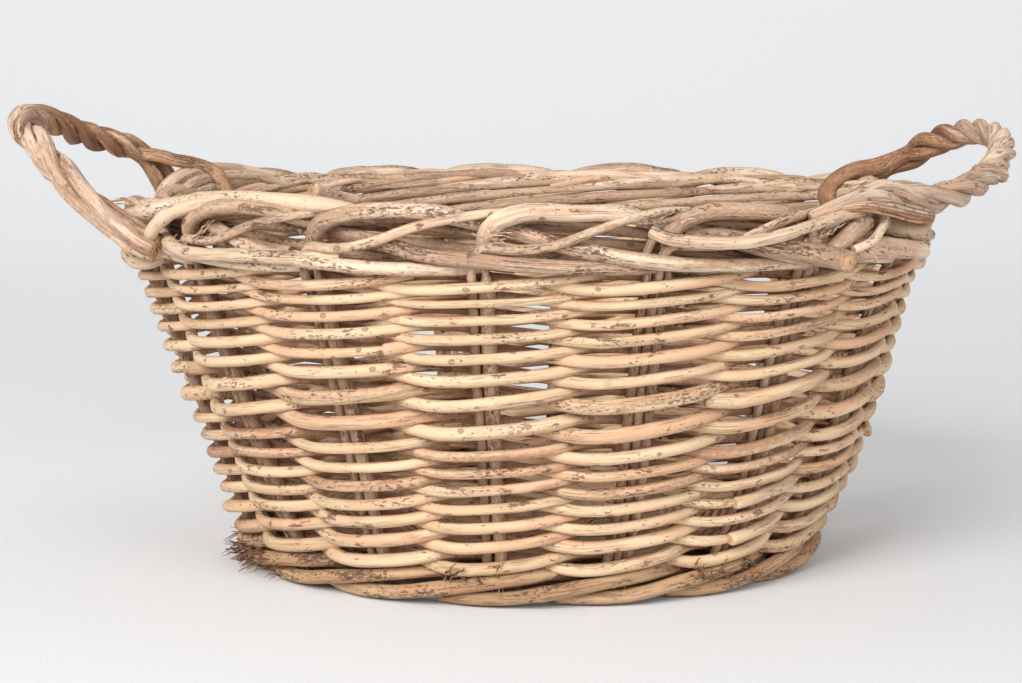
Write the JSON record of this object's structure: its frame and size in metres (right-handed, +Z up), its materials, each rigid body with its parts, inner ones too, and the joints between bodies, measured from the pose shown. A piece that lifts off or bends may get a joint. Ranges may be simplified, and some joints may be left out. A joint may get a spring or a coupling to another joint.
{
  "type": "oval wicker basket",
  "caption": "Oval open wicker basket with flaring woven walls, a rolled rod border, a twined foot and a twisted rope handle at each end.",
  "frame": {"origin": "on the floor, under the middle of the overall box", "axes": "+Z up, X from the left handle to the right handle, the front towards -Y"},
  "size_m": [0.6392, 0.4546, 0.2919],
  "materials": {
    "wall_willow": "matt peeled willow, tan with pinkish and dark patches",
    "stake_bark": "matt brown bark",
    "foot_willow": "matt willow, frayed in places",
    "handle_bark": "matt reddish-brown to tan bark, twisted",
    "base_willow": "matt willow",
    "base_stick": "matt split sticks"
  },
  "bodies": {
    "root": {"foot_rod_a": "foot_willow", "foot_rod_b": "foot_willow", "weaver_01_a": "wall_willow", "weaver_01_b": "wall_willow", "weaver_02_a": "wall_willow", "weaver_02_b": "wall_willow", "weaver_03_a": "wall_willow", "weaver_03_b": "wall_willow", "weaver_04_a": "wall_willow", "weaver_04_b": "wall_willow", "weaver_05_a": "wall_willow", "weaver_05_b": "wall_willow", "weaver_06_a": "wall_willow", "weaver_06_b": "wall_willow", "weaver_07_a": "wall_willow", "weaver_07_b": "wall_willow", "weaver_08_a": "wall_willow", "weaver_08_b": "wall_willow", "weaver_09_a": "wall_willow", "weaver_09_b": "wall_willow", "weaver_10_a": "wall_willow", "weaver_10_b": "wall_willow", "weaver_11_a": "wall_willow", "weaver_11_b": "wall_willow", "weaver_12_a": "wall_willow", "weaver_12_b": "wall_willow", "weaver_13_a": "wall_willow", "weaver_13_b": "wall_willow", "weaver_14_a": "wall_willow", "weaver_14_b": "wall_willow", "weaver_15_a": "wall_willow", "weaver_15_b": "wall_willow", "stake_01": "stake_bark", "stake_02": "stake_bark", "stake_03": "stake_bark", "stake_04": "stake_bark", "stake_05": "stake_bark", "stake_06": "stake_bark", "stake_07": "stake_bark", "stake_08": "stake_bark", "stake_09": "stake_bark", "stake_10": "stake_bark", "stake_11": "stake_bark", "stake_12": "stake_bark", "stake_13": "stake_bark", "stake_14": "stake_bark", "stake_15": "stake_bark", "stake_16": "stake_bark", "base_weave": "base_willow", "base_long_stick_1": "base_stick", "base_long_stick_2": "base_stick", "base_cross_stick_1": "base_stick", "base_cross_stick_2": "base_stick", "base_cross_stick_3": "base_stick", "handle_left_strand_1": "handle_bark", "handle_left_strand_2": "handle_bark", "handle_left_strand_3": "handle_bark", "handle_right_strand_1": "handle_bark", "handle_right_strand_2": "handle_bark", "handle_right_strand_3": "handle_bark"}
  },
  "joints": []
}
